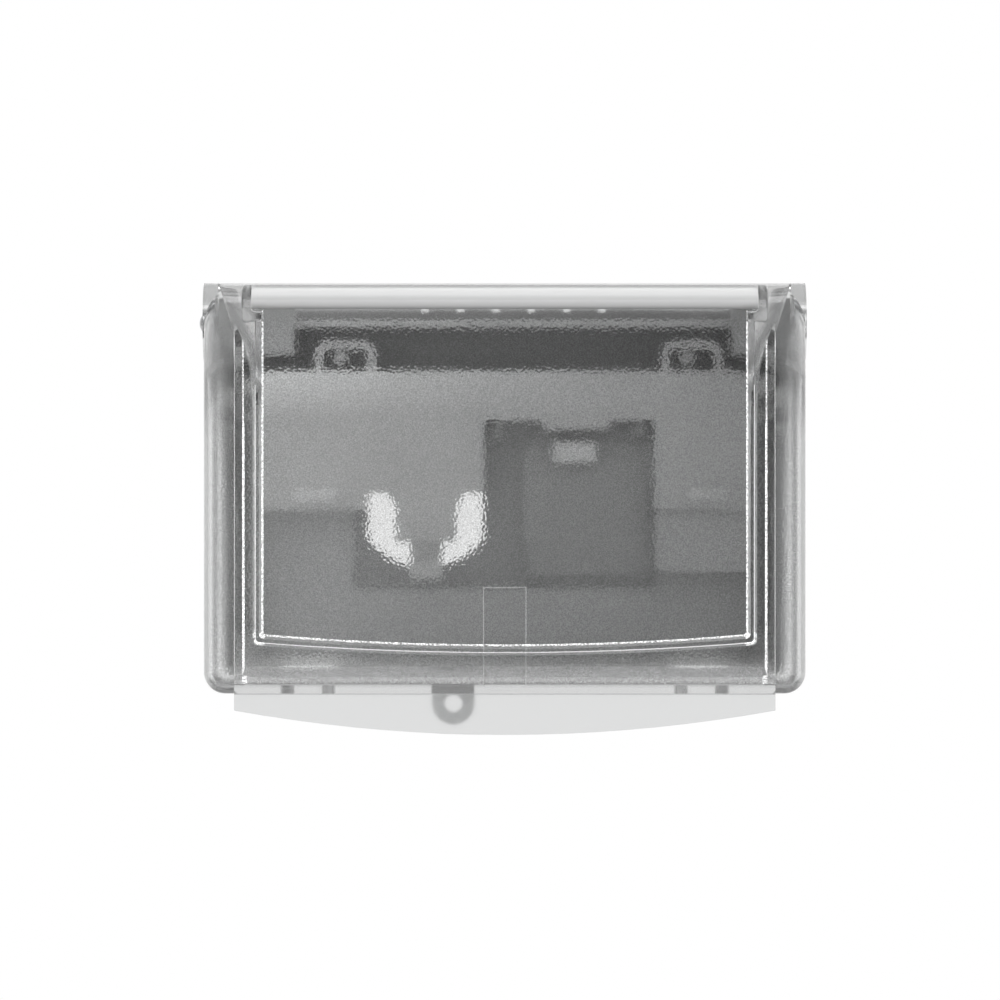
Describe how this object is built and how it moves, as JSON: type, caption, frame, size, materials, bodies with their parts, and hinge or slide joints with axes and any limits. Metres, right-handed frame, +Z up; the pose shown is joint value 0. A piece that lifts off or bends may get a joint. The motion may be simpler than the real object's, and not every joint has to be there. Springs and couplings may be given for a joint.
{
  "type": "weatherproof in-use outlet cover",
  "caption": "Clear hinged bubble lid over a grey wall base with snap-in inserts, keeping rain off a plugged-in outlet.",
  "frame": {"origin": "centre of the duplex receptacle, on the wall plane that the gasket seals against", "axes": "+X to the right as seen from the front, +Z up, +Y into the wall, so the lid faces -Y"},
  "size_m": [0.1488, 0.068, 0.1088],
  "materials": {
    "clear_plastic": "clear polycarbonate with a fine pebbled texture",
    "grey_plastic": "satin moulded grey plastic",
    "insert_plastic": "satin moulded grey plastic, a little lighter",
    "steel": "bright drawn steel",
    "foam": "closed-cell foam"
  },
  "bodies": {
    "cover_base": {"base_frame": "grey_plastic", "hinge_pin_left": "steel", "hinge_pin_right": "steel", "gasket": "foam", "duplex_insert": "insert_plastic", "upper_insert": "insert_plastic", "side_insert": "insert_plastic", "blanking_insert": "insert_plastic"},
    "cover_lid": {"lid": "clear_plastic"}
  },
  "joints": [
    {"name": "lid_hinge", "type": "hinge", "parent": "cover_base", "child": "cover_lid", "pos_m": [0, -0.016, 0.042], "axis": [-1, 0, 0], "range_deg": [0, 90]}
  ]
}
